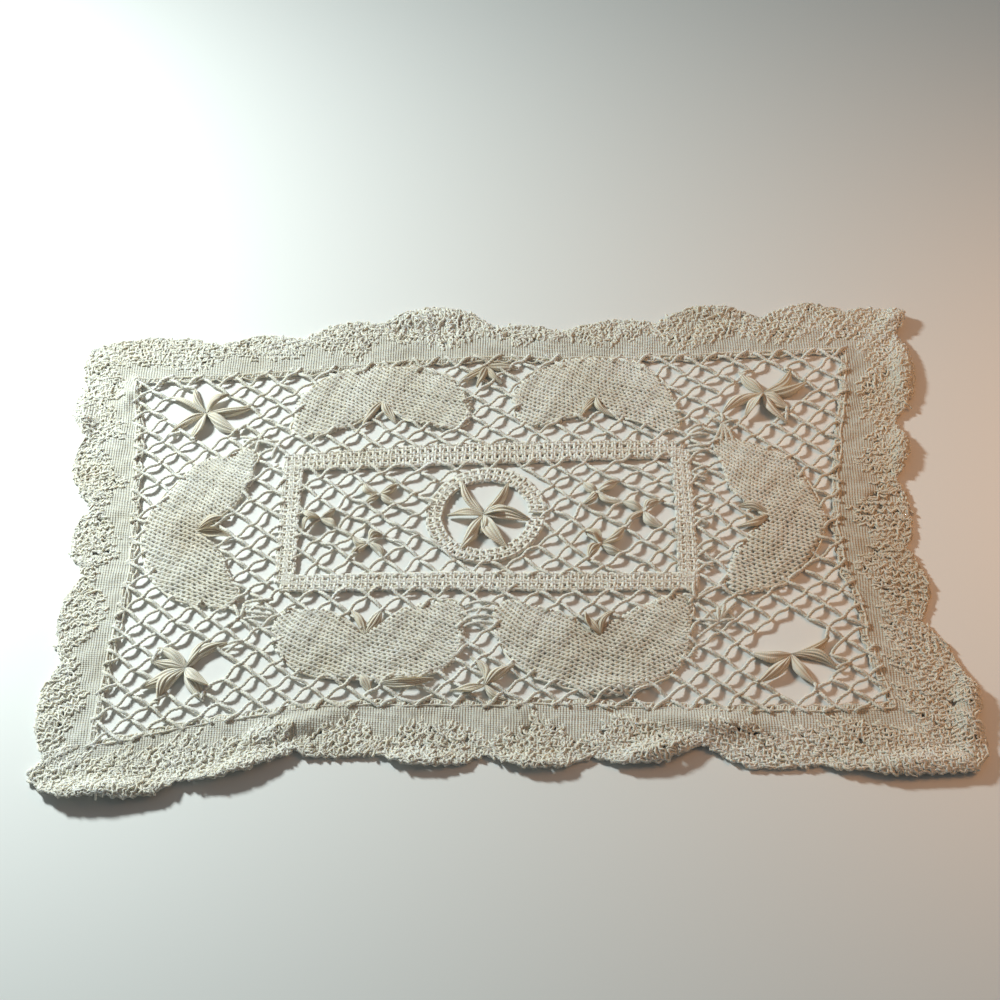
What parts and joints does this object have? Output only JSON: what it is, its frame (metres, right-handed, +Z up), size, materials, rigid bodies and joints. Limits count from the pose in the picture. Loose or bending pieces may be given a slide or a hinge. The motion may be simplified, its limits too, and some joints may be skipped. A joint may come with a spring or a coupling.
{
  "type": "doily",
  "caption": "Rectangular bobbin lace mat lying flat: open plaited net with leaves and hearts inside a woven tape, and a looped scalloped edge.",
  "frame": {"origin": "centre of the mat's box, at the level of the surface it lies on", "axes": "+X along the mat's long side, +Y away from its front edge, +Z up through its thickness"},
  "size_m": [0.3236, 0.2198, 0.0059],
  "materials": {
    "cotton_thread": "ecru cotton thread, matt, plaited and woven"
  },
  "bodies": {
    "root": {"lace_mat": "cotton_thread"}
  },
  "joints": []
}
